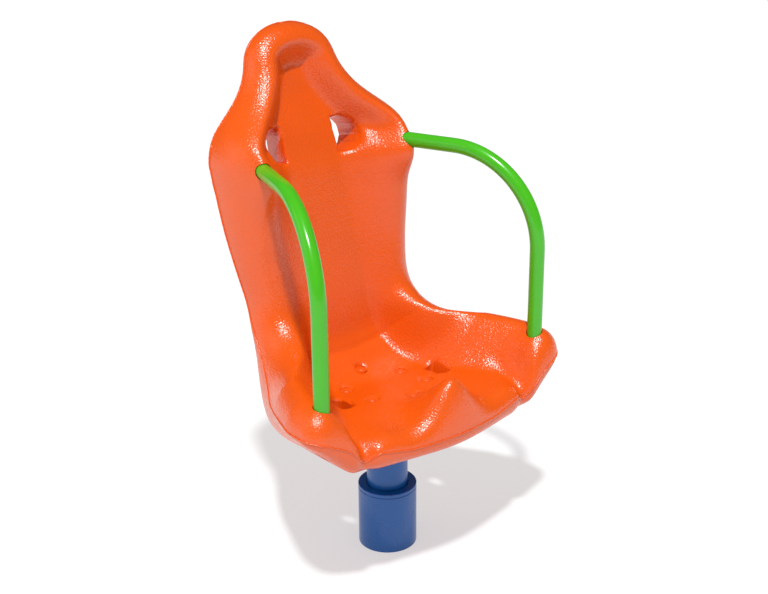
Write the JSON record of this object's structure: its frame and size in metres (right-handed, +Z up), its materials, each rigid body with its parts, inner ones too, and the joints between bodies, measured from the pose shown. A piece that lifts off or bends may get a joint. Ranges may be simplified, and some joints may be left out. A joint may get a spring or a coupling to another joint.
{
  "type": "merry go round",
  "caption": "Spinning bucket seat for a playground, with grab bars and a short fixed post that hides the bearings.",
  "frame": {"origin": "centre of the post's foot, on the ground", "axes": "+Z up along the turning axis; the seat faces -Y; +X is the left hand of a sitter"},
  "size_m": [0.6786, 0.6012, 1.0953],
  "materials": {
    "blue_coat": "smooth gloss powder coat",
    "green_coat": "gloss powder coat",
    "orange_plastic": "pebbled rotomoulded polyethylene",
    "orange_cap": "moulded push-in cap",
    "rubber_seal": "black nitrile",
    "bearing_steel": "ground",
    "stainless": "plain",
    "machined_steel": "turned",
    "zinc_steel": "zinc plated"
  },
  "bodies": {
    "post": {"base_flange": "blue_coat", "spindle": "machined_steel", "post_sleeve": "blue_coat", "post_cap": "blue_coat", "dust_seal": "rubber_seal", "grub_screws": "zinc_steel", "lower_bearing_inner_race": "bearing_steel", "upper_bearing_inner_race": "bearing_steel", "bearing_spacer": "machined_steel", "spindle_washer": "zinc_steel", "spindle_nut": "zinc_steel", "split_pin": "zinc_steel"},
    "seat": {"turning_stem": "blue_coat", "lower_bearing_cup": "machined_steel", "upper_bearing_cup": "machined_steel", "lower_bearing_outer_race": "bearing_steel", "upper_bearing_outer_race": "bearing_steel", "bearing_circlips": "bearing_steel", "seat_plate": "blue_coat", "plate_gussets": "blue_coat", "seat_shell": "orange_plastic", "seat_bolts": "stainless", "seat_bolt_washers": "stainless", "seat_bolt_nuts": "stainless", "bolt_caps": "orange_cap", "left_grab_bar": "green_coat", "right_grab_bar": "green_coat", "bar_end_plugs": "machined_steel", "bar_bolts": "stainless", "bar_washers": "stainless"},
    "ball_train": {"lower_bearing_balls": "bearing_steel", "upper_bearing_balls": "bearing_steel", "lower_bearing_cage": "bearing_steel", "upper_bearing_cage": "bearing_steel"}
  },
  "joints": [
    {"name": "seat_spin", "type": "hinge", "parent": "post", "child": "seat", "pos_m": [0, 0, 0.12], "axis": [0, 0, 1], "continuous": true},
    {"name": "ball_orbit", "type": "hinge", "parent": "post", "child": "ball_train", "pos_m": [0, 0, 0.12], "axis": [0, 0, 1], "continuous": true}
  ],
  "couplings": [
    {"joint": "ball_orbit", "follows": "seat_spin", "ratio": 0.6037}
  ]
}
